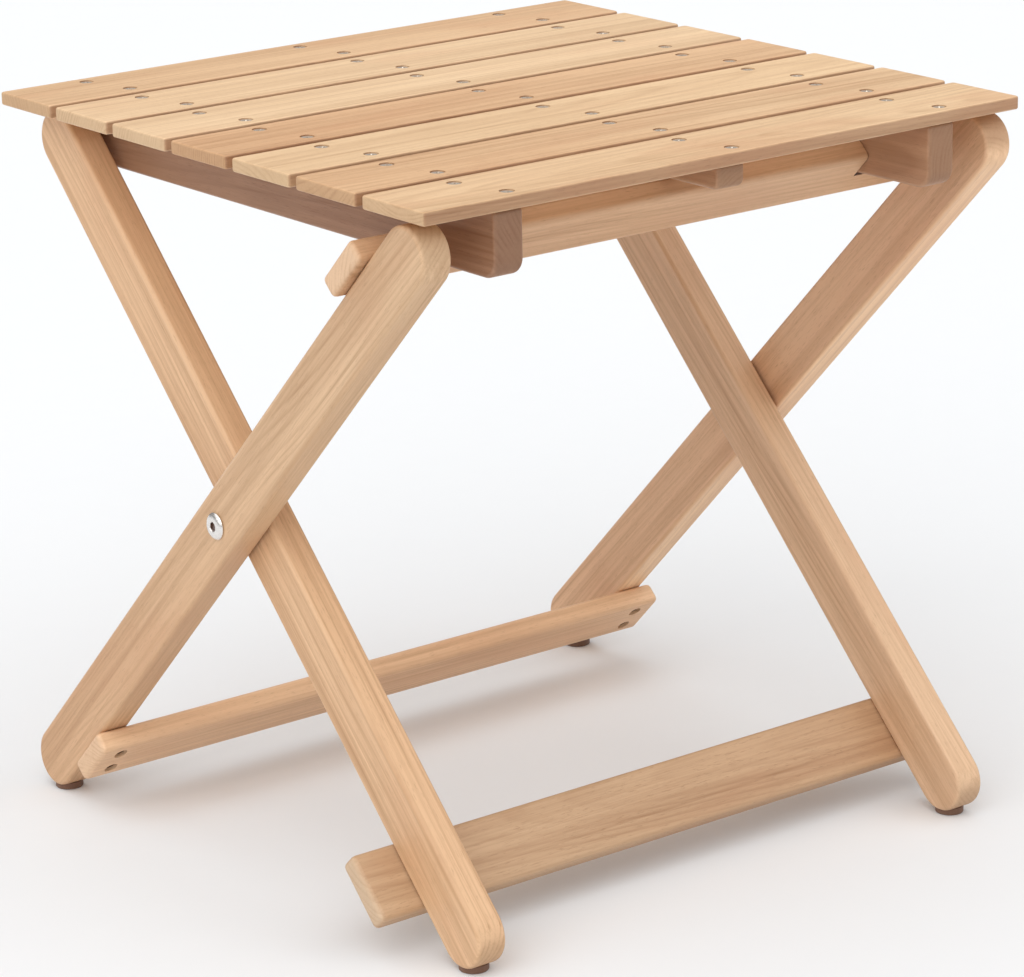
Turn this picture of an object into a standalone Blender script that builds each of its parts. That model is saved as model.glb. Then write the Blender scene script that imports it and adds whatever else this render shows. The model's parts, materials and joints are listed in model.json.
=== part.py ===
"""Folding side table with a slatted top on two crossed leg frames.

Frame: +X runs along the slats, +Y from the front edge to the rear edge, +Z up.
Origin on the floor under the middle of the table.  Units are metres.

The outer leg frame has its feet at the rear and its head at the front, the
inner leg frame the other way round.  They cross on two bolts, and the top
turns on a dowel held between the heads of the inner legs.
"""
import math

import bmesh
import bpy
from mathutils import Matrix

# ---------------------------------------------------------------- dimensions
TABLE_HEIGHT = 0.450
GAP = 0.0003                    # clearance between pieces that touch

# slatted top
SLAT_COUNT = 7
SLAT_LENGTH = 0.440
SLAT_WIDTH = 0.0565
SLAT_THICKNESS = 0.008
SLAT_SPACE = 0.006
SLAT_ROUND = 0.0015
BATTEN_X = 0.1602               # middle of the two outer battens
BATTEN_THICKNESS = 0.020
BATTEN_LENGTH = 0.425
BATTEN_DEPTH = 0.0387
BATTEN_CORNER = 0.011
MIDDLE_BATTEN_LENGTH = 0.420
MIDDLE_BATTEN_DEPTH = 0.0144
MIDDLE_BATTEN_CORNER = 0.005

# legs
LEG_ANGLE = math.radians(45.5)  # from the floor
LEG_THICKNESS = 0.020
LEG_WIDTH = 0.037
FOOT_SPAN = 0.2836              # crossing bolt to the middle of a round foot
HEAD_SPAN = 0.2752              # crossing bolt to the middle of a round head
LEG_ARRIS = 0.0015
OUTER_LEG_FACE = 0.218          # outer face of the outer legs
INNER_LEG_FACE = 0.196          # outer face of the inner legs
FOOT_CLEARANCE = 0.0029         # wood to floor, the glides make it up

# bars across the legs, measured along the leg from the crossing
BAR_LENGTH = 0.448
BAR_THICKNESS = 0.014
BAR_WIDTH = 0.039
BAR_ROUND = 0.003
FRONT_RAIL_AT = 0.2305
REAR_STRETCHER_AT = 0.235
FRONT_BOARD_AT = 0.233
FRONT_BOARD_WIDTH = 0.043
NOTCH_SIDE = 0.0006             # room beside a batten in the rail's notch
NOTCH_START = 0.2305            # where the notch floor leaves the leg side
NOTCH_SLOPE = math.radians(36.0)

# hardware
BOLT_RADIUS = 0.004
BOLT_HEAD_RADIUS = 0.00825
BOLT_HEAD_HEIGHT = 0.0026
BOLT_HEX_RADIUS = 0.0029
BOLT_HEX_DEPTH = 0.0018
INSERT_RADIUS = 0.006
INSERT_LENGTH = 0.0135
WASHER_RADIUS = 0.010
DOWEL_RADIUS = 0.007
DOWEL_IN_LEG = 0.0115
SCREW_RADIUS = 0.002
SCREW_HEAD_RADIUS = 0.004
SCREW_RIM = 0.0006
SCREW_LENGTH = 0.034
SCREW_RECESS = 0.002            # head below the surface of the bar
SCREW_SPREAD = 0.009            # either side of the bar's middle
GLIDE_RADIUS = 0.0088
GLIDE_HEIGHT = 0.0046
GLIDE_CHAMFER = 0.0009
GLIDE_PIN_RADIUS = 0.0015
GLIDE_PIN_LENGTH = 0.012

# ------------------------------------------------------------ derived values
TOP_DEPTH = SLAT_COUNT * SLAT_WIDTH + (SLAT_COUNT - 1) * SLAT_SPACE
SLAT_UNDERSIDE = TABLE_HEIGHT - SLAT_THICKNESS
LEG_RADIUS = LEG_WIDTH / 2
CROSSING_Z = FOOT_CLEARANCE + LEG_RADIUS + FOOT_SPAN * math.sin(LEG_ANGLE)
FOOT_Y = FOOT_SPAN * math.cos(LEG_ANGLE)
DOWEL_Y = HEAD_SPAN * math.cos(LEG_ANGLE)
DOWEL_Z = CROSSING_Z + HEAD_SPAN * math.sin(LEG_ANGLE)
OUTER_LEG_X = OUTER_LEG_FACE - LEG_THICKNESS / 2
INNER_LEG_X = INNER_LEG_FACE - LEG_THICKNESS / 2
SIDES = {"left": -1, "right": 1}

# ------------------------------------------------------------------- scene
for old in list(bpy.data.objects):
    bpy.data.objects.remove(old, do_unlink=True)

parts = bpy.data.collections.new("folding_side_table")
cutters = bpy.data.collections.new("cutters")
for group in (parts, cutters):
    bpy.context.scene.collection.children.link(group)


def material(name, colour, roughness, metallic=0.0):
    """Principled material with a plain colour."""
    mat = bpy.data.materials.new(name)
    mat.use_nodes = True
    shader = mat.node_tree.nodes["Principled BSDF"]
    shader.inputs["Base Color"].default_value = (*colour, 1.0)
    shader.inputs["Roughness"].default_value = roughness
    shader.inputs["Metallic"].default_value = metallic
    mat.diffuse_color = (*colour, 1.0)
    return mat


WOOD = {
    "pale": (0.66, 0.46, 0.27),
    "straw": (0.72, 0.52, 0.31),
    "honey": (0.60, 0.39, 0.21),
    "rose": (0.56, 0.35, 0.22),
    "tan": (0.50, 0.31, 0.18),
}
STEEL = ((0.72, 0.71, 0.69), 0.25, 1.0)
PLASTIC = ((0.035, 0.022, 0.016), 0.5, 0.0)


def wood(name, tone):
    return material("wood_" + name, WOOD[tone], 0.45)


def add_object(name, mesh, collection):
    obj = bpy.data.objects.new(name, mesh)
    collection.objects.link(obj)
    return obj


def as_cutter(obj):
    obj.hide_render = True
    obj.display_type = "WIRE"
    return obj


def bevel(obj, width, segments=2):
    """Round the sharp edges of an object."""
    mod = obj.modifiers.new("rounded_edges", "BEVEL")
    mod.width = width
    mod.segments = segments
    mod.limit_method = "ANGLE"
    mod.angle_limit = math.radians(30)
    mod.use_clamp_overlap = True


def cut(obj, cutter):
    mod = obj.modifiers.new("cut_" + cutter.name, "BOOLEAN")
    mod.operation = "DIFFERENCE"
    mod.solver = "EXACT"
    mod.object = cutter


def box(name, size, location, tilt=0.0, collection=parts, round_edges=(), radius=0.0,
        segments=8):
    """Box turned about X by tilt.

    round_edges lists the (y sign, z sign) of the edges along X that are
    rounded to the radius before anything else.
    """
    bm = bmesh.new()
    bmesh.ops.create_cube(bm, size=1.0)
    bmesh.ops.scale(bm, vec=size, verts=bm.verts)
    if round_edges:
        chosen = []
        for edge in bm.edges:
            a, b = (v.co for v in edge.verts)
            along_x = abs(a.x - b.x) > size[0] / 2
            if along_x and (math.copysign(1, a.y), math.copysign(1, a.z)) in round_edges:
                chosen.append(edge)
        bmesh.ops.bevel(bm, geom=chosen, offset=radius, segments=segments,
                        profile=0.5, affect="EDGES")
    mesh = bpy.data.meshes.new(name)
    bm.to_mesh(mesh)
    bm.free()
    obj = add_object(name, mesh, collection)
    obj.location = location
    obj.rotation_euler = (tilt, 0.0, 0.0)
    return obj


def cylinder(name, radius, length, location, rotation, collection=parts, segments=24):
    """Cylinder along its own Z, centred on location."""
    bm = bmesh.new()
    bmesh.ops.create_cone(bm, cap_ends=True, segments=segments, radius1=radius,
                          radius2=radius, depth=length)
    mesh = bpy.data.meshes.new(name)
    bm.to_mesh(mesh)
    bm.free()
    obj = add_object(name, mesh, collection)
    obj.location = location
    obj.rotation_euler = rotation
    return obj


def turned(name, profile, location, rotation, collection=parts, steps=24, closed=False):
    """Solid of revolution about its own Z; the profile runs down its outer side."""
    bm = bmesh.new()
    verts = [bm.verts.new((r, 0.0, z)) for r, z in profile]
    pairs = list(zip(verts, verts[1:]))
    if closed:
        pairs.append((verts[-1], verts[0]))
    for a, b in pairs:
        bm.edges.new((a, b))
    mesh = bpy.data.meshes.new(name)
    bm.to_mesh(mesh)
    bm.free()
    obj = add_object(name, mesh, collection)
    mod = obj.modifiers.new("turned", "SCREW")
    mod.axis = "Z"
    mod.steps = steps
    mod.render_steps = steps
    mod.use_merge_vertices = True
    mod.merge_threshold = 0.00001
    mod.use_smooth_shade = False
    obj.location = location
    obj.rotation_euler = rotation
    return obj


def empty(name, location, tilt=0.0):
    obj = bpy.data.objects.new(name, None)
    parts.objects.link(obj)
    obj.location = location
    obj.rotation_euler = (tilt, 0.0, 0.0)
    obj.empty_display_size = 0.03
    return obj


def attach(obj, parent):
    """Parent without moving the piece."""
    frame = Matrix.Translation(parent.location) @ parent.rotation_euler.to_matrix().to_4x4()
    obj.parent = parent
    obj.matrix_parent_inverse = frame.inverted()


# Empties on the joint axes.  The outer frame's local +Y runs down its legs,
# the inner frame's local +Y runs up its legs; local +Z is the upper edge.
outer_frame = empty("outer_frame_axis", (0.0, 0.0, CROSSING_Z), -LEG_ANGLE)
inner_frame = empty("inner_frame_axis", (0.0, 0.0, CROSSING_Z), LEG_ANGLE)
top = empty("top_axis", (0.0, DOWEL_Y, DOWEL_Z))
OUTER_TILT = -LEG_ANGLE
INNER_TILT = LEG_ANGLE


def on_frame(tilt, x, along, across):
    """Point given along and across a leg, in the table's frame."""
    c, s = math.cos(tilt), math.sin(tilt)
    return (x, along * c - across * s, CROSSING_Z + along * s + across * c)


# --------------------------------------------------------------------- legs
def leg(name, x, tilt, parent, tone):
    """Board with full round ends, a little longer below the crossing than above."""
    foot_way = 1 if parent is outer_frame else -1
    middle = foot_way * (FOOT_SPAN - HEAD_SPAN) / 2
    obj = box(name, (LEG_THICKNESS, FOOT_SPAN + HEAD_SPAN + LEG_WIDTH, LEG_WIDTH),
              on_frame(tilt, x, middle, 0.0), tilt,
              round_edges={(1, 1), (1, -1), (-1, 1), (-1, -1)},
              radius=LEG_RADIUS - 0.00005, segments=7)
    bevel(obj, LEG_ARRIS, 1)
    obj.data.materials.append(wood(name, tone))
    attach(obj, parent)
    return obj


legs = {}
for side, sign in SIDES.items():
    legs["outer", side] = leg("outer_leg_" + side, sign * OUTER_LEG_X, OUTER_TILT,
                              outer_frame, "honey" if sign < 0 else "rose")
    legs["inner", side] = leg("inner_leg_" + side, sign * INNER_LEG_X, INNER_TILT,
                              inner_frame, "rose" if sign < 0 else "honey")


# --------------------------------------------------------------------- bars
def bar(name, tilt, along, upper, width, parent, tone):
    """Flat bar across the legs, on their upper or lower edges."""
    side = 1 if upper else -1
    across = side * (LEG_RADIUS + GAP + BAR_THICKNESS / 2)
    obj = box(name, (BAR_LENGTH, width, BAR_THICKNESS),
              on_frame(tilt, 0.0, along, across), tilt)
    bevel(obj, BAR_ROUND, 2)
    obj.data.materials.append(wood(name, tone))
    attach(obj, parent)
    return obj


front_rail = bar("front_rail", OUTER_TILT, -FRONT_RAIL_AT, True, BAR_WIDTH,
                 outer_frame, "rose")
rear_stretcher = bar("rear_stretcher", OUTER_TILT, REAR_STRETCHER_AT, False, BAR_WIDTH,
                     outer_frame, "pale")
front_board = bar("front_board", INNER_TILT, -FRONT_BOARD_AT, False, FRONT_BOARD_WIDTH,
                  inner_frame, "honey")

# Notches in the front rail, one round each outer batten.  Their floor rises
# away from the leg so that the rail can slide out from under the battens.
NOTCH_SIZE = 0.080
for side, sign in SIDES.items():
    floor = OUTER_TILT + NOTCH_SLOPE
    start = on_frame(OUTER_TILT, sign * BATTEN_X, -NOTCH_START, LEG_RADIUS)
    centre = (start[0],
              start[1] - NOTCH_SIZE / 2 * math.sin(floor),
              start[2] + NOTCH_SIZE / 2 * math.cos(floor))
    notch = box("rail_notch_" + side,
                (BATTEN_THICKNESS + 2 * NOTCH_SIDE, 1.5 * NOTCH_SIZE, NOTCH_SIZE),
                centre, floor, cutters)
    as_cutter(notch)
    cut(front_rail, notch)

# ------------------------------------------------------- screws in the bars
SCREW_PROFILE = (
    (0.0, 0.0),
    (SCREW_HEAD_RADIUS, 0.0),
    (SCREW_HEAD_RADIUS, -SCREW_RIM),
    (SCREW_RADIUS, -SCREW_RIM - (SCREW_HEAD_RADIUS - SCREW_RADIUS)),
    (SCREW_RADIUS, -SCREW_LENGTH + 0.002),
    (0.0, -SCREW_LENGTH),
)
HOLE_PROFILE = (
    (0.0, SCREW_RECESS + 0.003),
    (SCREW_HEAD_RADIUS + GAP, SCREW_RECESS + 0.003),
    (SCREW_HEAD_RADIUS + GAP, -SCREW_RIM - GAP / 2),
    (SCREW_RADIUS + GAP, -SCREW_RIM - (SCREW_HEAD_RADIUS - SCREW_RADIUS) - GAP / 2),
    (SCREW_RADIUS + GAP, -SCREW_LENGTH - GAP),
    (0.0, -SCREW_LENGTH - GAP),
)


def bar_screws(label, bar_piece, leg_kind, tilt, along, upper, parent):
    """Two countersunk screws through a bar into each leg."""
    out = 1 if upper else -1
    leg_x = OUTER_LEG_X if leg_kind == "outer" else INNER_LEG_X
    across = out * (LEG_RADIUS + GAP + BAR_THICKNESS - SCREW_RECESS)
    turn = (tilt if upper else tilt + math.pi, 0.0, 0.0)
    for side, sign in SIDES.items():
        for place, shift in (("upper", -1), ("lower", 1)):
            name = "{}_screw_{}_{}".format(label, side, place)
            foot_way = 1 if leg_kind == "outer" else -1
            at = on_frame(tilt, sign * leg_x,
                          along + foot_way * shift * SCREW_SPREAD, across)
            hole = as_cutter(turned(name + "_hole", HOLE_PROFILE, at, turn, cutters, 12))
            cut(bar_piece, hole)
            cut(legs[leg_kind, side], hole)
            screw = turned(name, SCREW_PROFILE, at, turn, parts, 12)
            screw.data.materials.append(material("steel_" + name, *STEEL))
            attach(screw, parent)


bar_screws("rail", front_rail, "outer", OUTER_TILT, -FRONT_RAIL_AT, True, outer_frame)
bar_screws("stretcher", rear_stretcher, "outer", OUTER_TILT, REAR_STRETCHER_AT, False,
           outer_frame)
bar_screws("board", front_board, "inner", INNER_TILT, -FRONT_BOARD_AT, False, inner_frame)

# ------------------------------------------------------------ crossing bolts
BOLT_LENGTH = (LEG_THICKNESS + (OUTER_LEG_FACE - LEG_THICKNESS - INNER_LEG_FACE)
               + INSERT_LENGTH - 0.001)
DOME = [(BOLT_HEAD_RADIUS * math.cos(a), 0.0012 + (BOLT_HEAD_HEIGHT - 0.0012) * math.sin(a))
        for a in (math.radians(22.5 * i) for i in range(3, -1, -1))]
BOLT_PROFILE = ([(0.0, BOLT_HEAD_HEIGHT)] + DOME
                + [(BOLT_HEAD_RADIUS, 0.0), (BOLT_RADIUS, 0.0),
                   (BOLT_RADIUS, -BOLT_LENGTH + 0.0008),
                   (BOLT_RADIUS - 0.0008, -BOLT_LENGTH), (0.0, -BOLT_LENGTH)])


def tube_profile(outer, inner, length):
    return ((outer, 0.0), (outer, -length), (inner, -length), (inner, 0.0))


for side, sign in SIDES.items():
    outward = (0.0, sign * math.pi / 2, 0.0)     # local +Z points away from the table

    bolt = turned("pivot_bolt_" + side, BOLT_PROFILE,
                  (sign * (OUTER_LEG_FACE + GAP), 0.0, CROSSING_Z), outward, parts, 20)
    socket = cylinder("hex_socket_" + side, BOLT_HEX_RADIUS, 2 * BOLT_HEX_DEPTH,
                      (sign * (OUTER_LEG_FACE + GAP + BOLT_HEAD_HEIGHT), 0.0, CROSSING_Z),
                      outward, cutters, 6)
    cut(bolt, as_cutter(socket))
    bolt.data.materials.append(material("steel_bolt_" + side, *STEEL))
    attach(bolt, inner_frame)

    bore = cylinder("bolt_bore_" + side, BOLT_RADIUS + GAP, 2 * LEG_THICKNESS,
                    (sign * OUTER_LEG_X, 0.0, CROSSING_Z), outward, cutters)
    cut(legs["outer", side], as_cutter(bore))

    insert = turned("threaded_insert_" + side,
                    tube_profile(INSERT_RADIUS, BOLT_RADIUS + GAP, INSERT_LENGTH),
                    (sign * (INNER_LEG_FACE - GAP), 0.0, CROSSING_Z), outward, parts, 20,
                    closed=True)
    insert.data.materials.append(material("steel_insert_" + side, *STEEL))
    attach(insert, inner_frame)
    pocket_depth = INSERT_LENGTH + 2 * GAP
    pocket = cylinder("insert_pocket_" + side, INSERT_RADIUS + GAP, 2 * pocket_depth,
                      (sign * INNER_LEG_FACE, 0.0, CROSSING_Z), outward, cutters)
    cut(legs["inner", side], as_cutter(pocket))

    room = OUTER_LEG_FACE - LEG_THICKNESS - INNER_LEG_FACE
    washer = turned("pivot_washer_" + side,
                    tube_profile(WASHER_RADIUS, BOLT_RADIUS + GAP, room - 2 * GAP),
                    (sign * (INNER_LEG_FACE + room - GAP), 0.0, CROSSING_Z), outward, parts,
                    20, closed=True)
    washer.data.materials.append(material("steel_washer_" + side, *STEEL))
    attach(washer, inner_frame)

# ---------------------------------------------------------------- foot glides
GLIDE_PROFILE = (
    (0.0, GLIDE_HEIGHT + GLIDE_PIN_LENGTH),
    (GLIDE_PIN_RADIUS, GLIDE_HEIGHT + GLIDE_PIN_LENGTH - 0.002),
    (GLIDE_PIN_RADIUS, GLIDE_HEIGHT),
    (GLIDE_RADIUS, GLIDE_HEIGHT),
    (GLIDE_RADIUS, GLIDE_CHAMFER),
    (GLIDE_RADIUS - GLIDE_CHAMFER, 0.0),
    (0.0, 0.0),
)
GLIDE_HOLE_PROFILE = (
    (0.0, GLIDE_HEIGHT + GLIDE_PIN_LENGTH + GAP),
    (GLIDE_PIN_RADIUS + GAP, GLIDE_HEIGHT + GLIDE_PIN_LENGTH + GAP),
    (GLIDE_PIN_RADIUS + GAP, GLIDE_HEIGHT + GAP),
    (GLIDE_RADIUS + GAP, GLIDE_HEIGHT + GAP),
    (GLIDE_RADIUS + GAP, -0.004),
    (0.0, -0.004),
)
for side, sign in SIDES.items():
    for kind, place, y, x, parent in (
            ("outer", "rear", FOOT_Y, OUTER_LEG_X, outer_frame),
            ("inner", "front", -FOOT_Y, INNER_LEG_X, inner_frame)):
        at = (sign * x, y, 0.0)
        name = "foot_glide_{}_{}".format(place, side)
        hole = turned(name + "_seat", GLIDE_HOLE_PROFILE, at, (0, 0, 0), cutters, 20)
        cut(legs[kind, side], as_cutter(hole))
        glide = turned(name, GLIDE_PROFILE, at, (0, 0, 0), parts, 20)
        glide.data.materials.append(material("plastic_" + name, *PLASTIC))
        attach(glide, parent)

# -------------------------------------------------------------- pivot dowel
sideways = (0.0, math.pi / 2, 0.0)
dowel_half = INNER_LEG_FACE - LEG_THICKNESS + DOWEL_IN_LEG
dowel = cylinder("pivot_dowel", DOWEL_RADIUS, 2 * dowel_half, (0.0, DOWEL_Y, DOWEL_Z),
                 sideways, parts, 24)
bevel(dowel, 0.001, 1)
dowel.data.materials.append(wood("pivot_dowel", "pale"))
dowel_bore = as_cutter(cylinder("dowel_bore", DOWEL_RADIUS + GAP, 2 * (dowel_half + GAP),
                                (0.0, DOWEL_Y, DOWEL_Z), sideways, cutters))
for side in SIDES:
    cut(legs["inner", side], dowel_bore)

# ---------------------------------------------------------------------- top
SLAT_TONES = ("rose", "pale", "straw", "tan", "pale", "rose", "straw")
for i in range(SLAT_COUNT):
    y = TOP_DEPTH / 2 - SLAT_WIDTH / 2 - i * (SLAT_WIDTH + SLAT_SPACE)
    name = "slat_{}".format(i + 1)
    slat = box(name, (SLAT_LENGTH, SLAT_WIDTH, SLAT_THICKNESS),
               (0.0, y, TABLE_HEIGHT - SLAT_THICKNESS / 2))
    bevel(slat, SLAT_ROUND, 2)
    slat.data.materials.append(wood(name, SLAT_TONES[i]))
    attach(slat, top)

for name, x, length, depth, corner, tone in (
        ("batten_left", -BATTEN_X, BATTEN_LENGTH, BATTEN_DEPTH, BATTEN_CORNER, "honey"),
        ("batten_middle", 0.0, MIDDLE_BATTEN_LENGTH, MIDDLE_BATTEN_DEPTH,
         MIDDLE_BATTEN_CORNER, "rose"),
        ("batten_right", BATTEN_X, BATTEN_LENGTH, BATTEN_DEPTH, BATTEN_CORNER, "rose")):
    batten = box(name, (BATTEN_THICKNESS, length, depth),
                 (x, 0.0, SLAT_UNDERSIDE - GAP - depth / 2),
                 round_edges={(1, -1), (-1, -1)}, radius=corner, segments=6)
    bevel(batten, 0.001, 1)
    if depth == BATTEN_DEPTH:
        cut(batten, dowel_bore)
    batten.data.materials.append(wood(name, tone))
    attach(batten, top)

# Round pieces read smooth, flat ones keep their edges.
for obj in parts.objects:
    if obj.type == "MESH" and obj.name.startswith(("pivot_", "threaded_", "foot_glide",
                                                   "rail_screw", "stretcher_screw",
                                                   "board_screw")):
        for poly in obj.data.polygons:
            poly.use_smooth = True
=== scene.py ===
import json
import math
import random

import bmesh
import bpy
from mathutils import Matrix, Vector


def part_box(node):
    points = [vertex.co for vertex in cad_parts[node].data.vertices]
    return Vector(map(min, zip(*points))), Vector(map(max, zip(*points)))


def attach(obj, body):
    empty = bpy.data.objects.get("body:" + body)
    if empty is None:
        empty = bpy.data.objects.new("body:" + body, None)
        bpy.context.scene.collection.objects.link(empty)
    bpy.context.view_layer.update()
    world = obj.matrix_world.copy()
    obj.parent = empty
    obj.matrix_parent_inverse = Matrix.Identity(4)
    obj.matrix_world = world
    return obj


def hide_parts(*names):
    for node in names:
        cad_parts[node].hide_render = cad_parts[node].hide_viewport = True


# Folding side table.  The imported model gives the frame: every piece below takes
# its place from it and rides on one of its bodies.  Units are metres.
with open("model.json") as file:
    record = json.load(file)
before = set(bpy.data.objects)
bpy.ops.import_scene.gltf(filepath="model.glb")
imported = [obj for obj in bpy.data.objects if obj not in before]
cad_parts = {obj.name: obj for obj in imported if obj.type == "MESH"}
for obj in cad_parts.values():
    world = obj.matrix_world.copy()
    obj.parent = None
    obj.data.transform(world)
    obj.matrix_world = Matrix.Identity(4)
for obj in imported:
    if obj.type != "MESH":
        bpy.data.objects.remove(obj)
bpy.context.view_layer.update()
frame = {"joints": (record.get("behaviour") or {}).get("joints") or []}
JOINTS = {joint["name"]: joint for joint in frame["joints"]}

# ----------------------------------------------------------------- dimensions
GAP = 0.0003                                          # between pieces that touch
CROSSING = Vector(JOINTS["leg_fold"]["pos_m"])        # leg frames turn here
ROD = Vector(JOINTS["top_fold"]["pos_m"])             # the top turns here
LEG_DIRECTION = (ROD - CROSSING).normalized()
LEG_ANGLE = math.atan2(LEG_DIRECTION.z, LEG_DIRECTION.y)
HEAD_SPAN = (ROD - CROSSING).length                   # crossing to a round head
GLIDE_LOW, GLIDE_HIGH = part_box("foot_glide_rear_left")
FOOT_SPAN = (GLIDE_LOW.y + GLIDE_HIGH.y) / 2 / math.cos(LEG_ANGLE)   # to a round foot
LEG_WIDTH = 0.037
LEG_ROUND = LEG_WIDTH / 2
LEG_ARRIS = 0.0026
BAR_THICKNESS = 0.014
BAR_ARRIS = 0.0034
FRONT_RAIL_AT = 0.2305                                # places along a leg
REAR_STRETCHER_AT = 0.235
FRONT_BOARD_AT = 0.233
BAR_WIDTH = 0.039
BOARD_WIDTH = 0.043
NOTCH_SIDE = 0.0006                                   # room beside a batten
NOTCH_SLOPE = math.radians(36.0)
NOTCH_SIZE = 0.080
ARRIS_STEPS = 4
SHARP = math.radians(60)                              # edges of a plank above this are rounded
SLAT_ARRIS = 0.0013
SLAT_CORNER = 0.0022
BATTEN_ARRIS = 0.0024
BATTEN_CORNER = 0.011
MIDDLE_BATTEN_CORNER = 0.005

SCREW_HEAD = 0.0040                                   # radii
SCREW_SHANK = 0.0019
SCREW_HEAD_DEPTH = 0.0026
SCREW_RIM = 0.00055                                   # straight side of a head
SCREW_TAPER = 0.004
HOLE_RIM = 0.00060
SCREW_ROOM = 0.00045                                  # between a screw and its hole
SLAT_SCREW_LENGTH = 0.019
SLAT_SCREW_RECESS = 0.0005
SLAT_SCREW_X = 0.0047                                 # stagger about a batten
SLAT_SCREW_Y = 0.0174
BAR_SCREW_LENGTH = 0.034
BAR_SCREW_RECESS = 0.002
BAR_SCREW_SPREAD = 0.009
BOLT_RADIUS = 0.004
BOLT_HEAD_RADIUS = 0.00825
BOLT_HEAD_HEIGHT = 0.0026
HEX_RADIUS = 0.0029
HEX_DEPTH = 0.0018
HEX_POINT = 0.0022                                    # depth in the middle
INSERT_RADIUS = 0.006
INSERT_LENGTH = 0.0135
WASHER_RADIUS = 0.010
DOWEL_RADIUS = 0.007
GLIDE_RADIUS = 0.0088
GLIDE_HEIGHT = 0.0046
GLIDE_PIN_RADIUS = 0.0015
GLIDE_PIN_LENGTH = 0.012
GLIDE_ROUND = 0.0009
CUT_ABOVE = 0.003                                     # a cutter's reach past a surface
CUT_BELOW = 0.004

SIDES = {"left": -1, "right": 1}
ALL_CORNERS = {(1, 1), (1, -1), (-1, 1), (-1, -1)}
X, Y, Z = Vector((1, 0, 0)), Vector((0, 1, 0)), Vector((0, 0, 1))


# ---------------------------------------------------------------- node helper
class Shader:
    """Builds one node material."""

    def __init__(self, name):
        self.material = bpy.data.materials.new(name)
        self.material.use_nodes = True
        self.tree = self.material.node_tree
        self.surface = self.tree.nodes["Principled BSDF"]

    def feed(self, socket, value):
        """Link an output to the socket, or set a plain value on it."""
        if isinstance(value, bpy.types.NodeSocket):
            self.tree.links.new(value, socket)
        else:
            socket.default_value = value

    def node(self, kind, inputs=(), **settings):
        made = self.tree.nodes.new("ShaderNode" + kind)
        for key, value in settings.items():
            setattr(made, key, value)
        for key, value in dict(inputs).items():
            self.feed(made.inputs[key], value)
        return made

    def math(self, operation, a, b=0.0, c=0.0, clamp=False):
        made = self.node("Math", {0: a, 1: b, 2: c}, operation=operation)
        made.use_clamp = clamp
        return made.outputs[0]

    def vector(self, operation, a, b):
        return self.node("VectorMath", {0: a, 1: b}, operation=operation).outputs[0]

    def noise(self, vector, scale, detail=2.0, roughness=0.5, distortion=0.0):
        """Grey noise on a vector stretched by scale, a 3-vector in 1/m."""
        stretched = self.vector("MULTIPLY", vector, scale)
        made = self.node("TexNoise", {"Vector": stretched, "Scale": 1.0, "Detail": detail,
                                      "Roughness": roughness, "Distortion": distortion})
        return made.outputs["Fac"]

    def spread(self, value, low, high, to_low=0.0, to_high=1.0):
        """Smooth step between two levels of value."""
        made = self.node("MapRange", {"Value": value, "From Min": low, "From Max": high,
                                      "To Min": to_low, "To Max": to_high},
                         interpolation_type="SMOOTHSTEP")
        return made.outputs["Result"]

    def ramp(self, value, stops):
        made = self.node("ValToRGB", {"Fac": value})
        points = made.color_ramp.elements
        while len(points) < len(stops):
            points.new(0.5)
        for point, (position, level) in zip(points, stops):
            point.position = position
            point.color = (level, level, level, 1.0)
        return made.outputs["Color"]

    def mix(self, factor, a, b, blend="MIX"):
        made = self.node("Mix", {"Factor": factor}, data_type="RGBA", blend_type=blend)
        self.feed(made.inputs[6], a)
        self.feed(made.inputs[7], b)
        return made.outputs[2]

    def set(self, **values):
        for key, value in values.items():
            self.feed(self.surface.inputs[key.replace("_", " ")], value)

    def bump(self, height, strength, distance):
        made = self.node("Bump", {"Height": height, "Strength": strength, "Distance": distance})
        self.feed(self.surface.inputs["Normal"], made.outputs["Normal"])


# ------------------------------------------------------------------ materials
def shade(colour, factors):
    return tuple(c * f for c, f in zip(colour, factors)) + (1.0,)


# Shades of a wood: red, green and blue factors on its tone.
PALE_GRAIN = (1.12, 1.13, 1.15)
DEEP_GRAIN = (0.66, 0.55, 0.46)
PINK_PATCH = (0.93, 0.80, 0.76)
OPEN_PORE = (0.50, 0.38, 0.30)
SAWN_PALE = (1.05, 1.12, 1.20)
SAWN_DEEP = (0.70, 0.62, 0.58)
# the rubbed edge colour is partly wear, partly a painted highlight along the arris
RUBBED_EDGE_AND_HIGHLIGHT = (1.10, 1.11, 1.13)
# the colour a board drifts to is partly its own tone, partly painted light
DRIFTED_TONE_AND_LIGHT = (1.10, 1.20, 1.28)
SAWN_POWERS = (1.0, 1.3, 1.6)         # a darker end or side is a warmer one too
SIDE_POWERS = (1.08, 1.40, 1.52)

# Stretch of its noises, in 1/m along and across the grain.
FIBRES = (9.0, 640.0, 640.0)
STREAKS = (1.7, 165.0, 165.0)
BANDS = (1.1, 30.0, 30.0)
CLOUDS = (3.5, 13.0, 13.0)
VEINS = (1.4, 330.0, 330.0)
PATCHES = (7.0, 24.0, 24.0)
PORES = (150.0, 2300.0, 2300.0)
SAWN_GRAIN = (60.0, 900.0, 900.0)
RUBBING_AND_HIGHLIGHT = (45.0, 45.0, 45.0)
RING_WANDER = (3.2, 17.0, 17.0)
RING_PATCHES = (4.0, 60.0, 60.0)

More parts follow.
